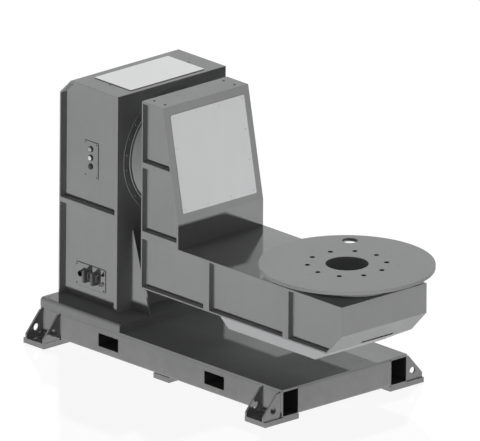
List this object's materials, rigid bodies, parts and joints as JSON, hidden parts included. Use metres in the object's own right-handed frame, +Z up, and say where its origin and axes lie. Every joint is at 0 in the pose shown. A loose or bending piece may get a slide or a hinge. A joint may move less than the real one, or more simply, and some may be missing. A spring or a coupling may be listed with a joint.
{
  "type": "two-axis positioner",
  "caption": "Welding positioner: a column tilts an L-shaped arm about a level axis, and a round drilled face plate turns at the arm's end, on a long frame with fork pockets.",
  "frame": {"origin": "centre of the floor anchor pattern, on the floor", "axes": "+X along the base from the column to the face plate, +Y across the base away from the push buttons, +Z up"},
  "size_m": [2.466, 1.218, 1.535],
  "materials": {
    "frame_paint": "satin",
    "housing_paint": "satin",
    "cover_paint": "satin",
    "bearing_paint": "satin",
    "face_plate_steel": "satin",
    "gear_steel": "machined",
    "drive_casting": "matte",
    "blackened_screws": "blackened",
    "connector_black": "matte",
    "coupling_nickel": "satin",
    "button_grey": "gloss",
    "button_white": "gloss",
    "button_black": "gloss"
  },
  "bodies": {
    "base": {"side_tube_near": "frame_paint", "side_tube_far": "frame_paint", "front_cross_member": "frame_paint", "rear_cross_member": "frame_paint", "front_fork_sleeve": "frame_paint", "rear_fork_sleeve": "frame_paint", "deck_plate": "frame_paint", "foot_front_near": "frame_paint", "foot_front_far": "frame_paint", "foot_rear_near": "frame_paint", "foot_rear_far": "frame_paint", "mid_pads": "frame_paint", "plinth_plate": "frame_paint", "plinth_screws": "blackened_screws", "column_housing": "housing_paint", "column_gussets": "housing_paint", "column_lid": "cover_paint", "switch_plate": "housing_paint", "switch_bodies": "connector_black", "socket_plate": "housing_paint", "power_connector": "connector_black", "signal_connector": "connector_black", "round_inlet": "connector_black", "air_coupling": "coupling_nickel", "earth_stud": "blackened_screws", "tilt_fixed_ring": "bearing_paint", "tilt_drive_plate": "drive_casting", "tilt_gearbox": "drive_casting", "tilt_motor": "drive_casting"},
    "arm": {"tilt_drum": "bearing_paint", "tilt_gear": "gear_steel", "tilt_gear_bolts": "blackened_screws", "arm_housing": "housing_paint", "arm_front_cover": "cover_paint", "arm_head_screws": "blackened_screws", "arm_beam": "housing_paint", "arm_top_plate": "housing_paint", "arm_bottom_cover": "cover_paint", "table_fixed_ring": "bearing_paint", "table_ring_bolts": "blackened_screws", "table_drive_plate": "drive_casting", "table_gearbox": "drive_casting", "table_motor": "drive_casting"},
    "table": {"table_hub": "bearing_paint", "table_gear": "gear_steel", "table_gear_bolts": "blackened_screws", "face_plate": "face_plate_steel", "face_plate_screws": "blackened_screws"},
    "tilt_pinion_shaft": {"tilt_pinion": "gear_steel"},
    "table_pinion_shaft": {"table_pinion": "gear_steel"},
    "upper_button": {"button_upper": "button_grey"},
    "middle_button": {"button_middle": "button_white"},
    "lower_button": {"button_lower": "button_black"}
  },
  "joints": [
    {"name": "arm_tilt", "type": "hinge", "parent": "base", "child": "arm", "pos_m": [-0.398, 0.053, 1.127], "axis": [1, 0, 0], "range_deg": [-180, 180]},
    {"name": "table_turn", "type": "hinge", "parent": "arm", "child": "table", "pos_m": [0.961, 0.053, 0.82], "axis": [0, 0, 1], "continuous": true},
    {"name": "tilt_pinion_turn", "type": "hinge", "parent": "base", "child": "tilt_pinion_shaft", "pos_m": [-0.567, 0.053, 0.743], "axis": [1, 0, 0], "range_deg": [-540, 540]},
    {"name": "table_pinion_turn", "type": "hinge", "parent": "arm", "child": "table_pinion_shaft", "pos_m": [0.673, 0.053, 0.629], "axis": [0, 0, 1], "continuous": true},
    {"name": "upper_press", "type": "slide", "parent": "base", "child": "upper_button", "axis": [0, 1, 0], "range_m": [0, 0.004], "stiffness_N_per_m": 500, "springref_m": -0.003},
    {"name": "middle_press", "type": "slide", "parent": "base", "child": "middle_button", "axis": [0, 1, 0], "range_m": [0, 0.004], "stiffness_N_per_m": 500, "springref_m": -0.003},
    {"name": "lower_press", "type": "slide", "parent": "base", "child": "lower_button", "axis": [0, 1, 0], "range_m": [0, 0.004], "stiffness_N_per_m": 500, "springref_m": -0.003}
  ],
  "couplings": [
    {"joint": "tilt_pinion_turn", "follows": "arm_tilt", "ratio": -3},
    {"joint": "table_pinion_turn", "follows": "table_turn", "ratio": -3}
  ]
}
